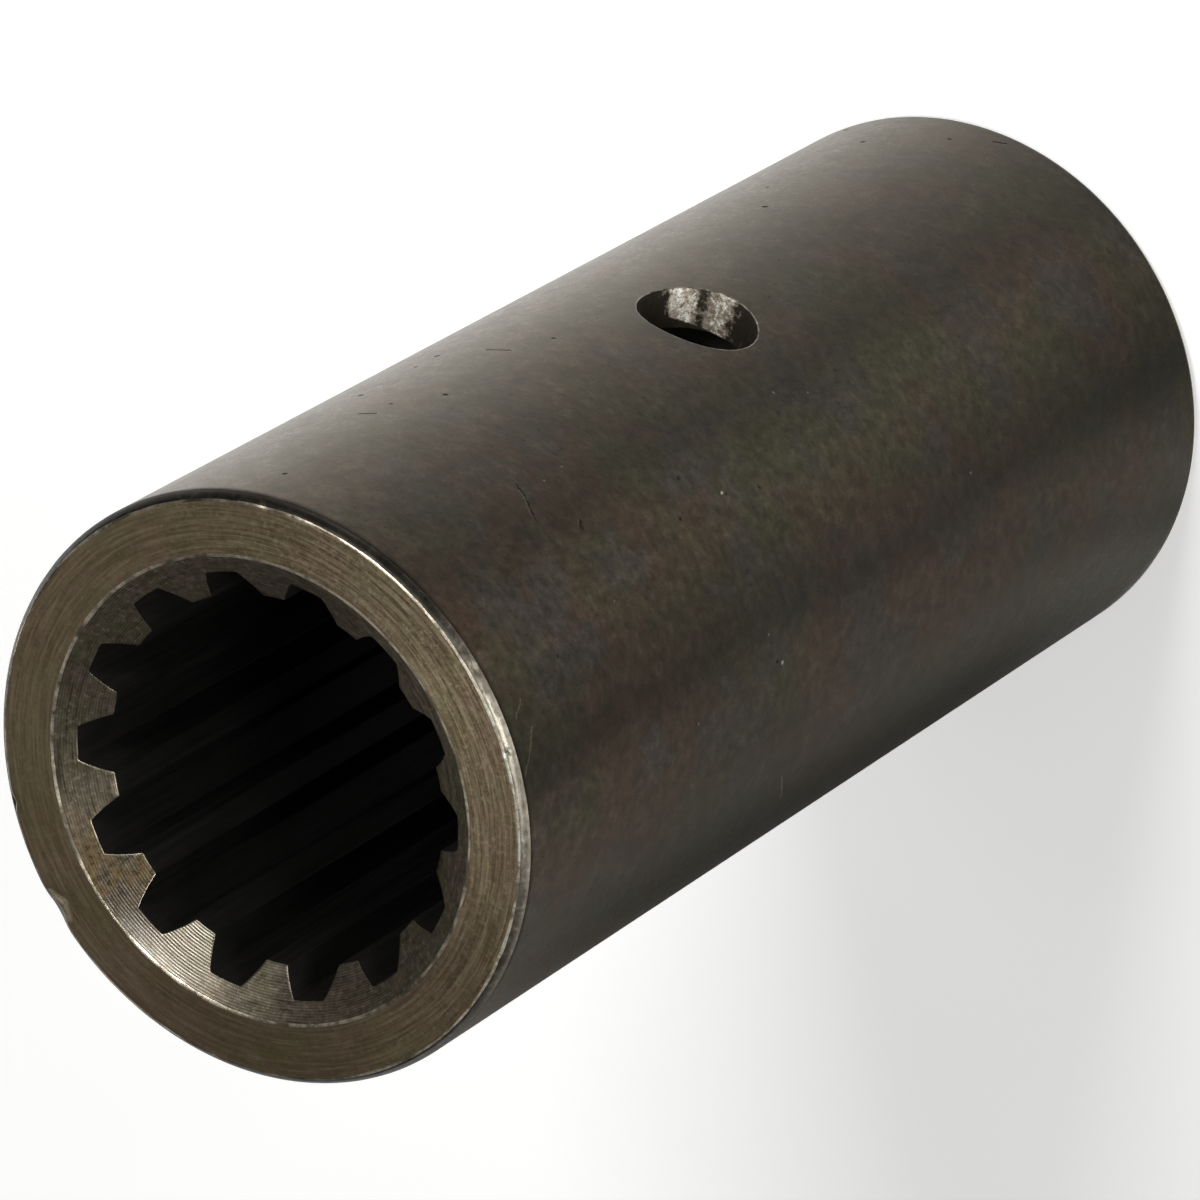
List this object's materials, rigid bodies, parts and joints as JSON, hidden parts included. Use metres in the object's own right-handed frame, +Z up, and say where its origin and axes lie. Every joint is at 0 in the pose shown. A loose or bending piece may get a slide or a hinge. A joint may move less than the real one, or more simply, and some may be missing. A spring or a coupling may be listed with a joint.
{
  "type": "shaft coupling",
  "caption": "Steel sleeve with an internally splined through bore, tapered lead-ins at both ends and a radial cross hole at mid-length, joining two splined shafts end to end.",
  "frame": {"origin": "centre of the lower end face, which the sleeve stands on", "axes": "+Z up along the bore axis, towards the end face that the picture shows; -Y out of the cross hole; +X completes the right-handed set"},
  "size_m": [0.035, 0.035, 0.081],
  "materials": {
    "sleeve_steel": "turned steel, dark oiled and blackened outside, barer on the end faces"
  },
  "bodies": {
    "root": {"coupling_sleeve": "sleeve_steel"}
  },
  "joints": []
}
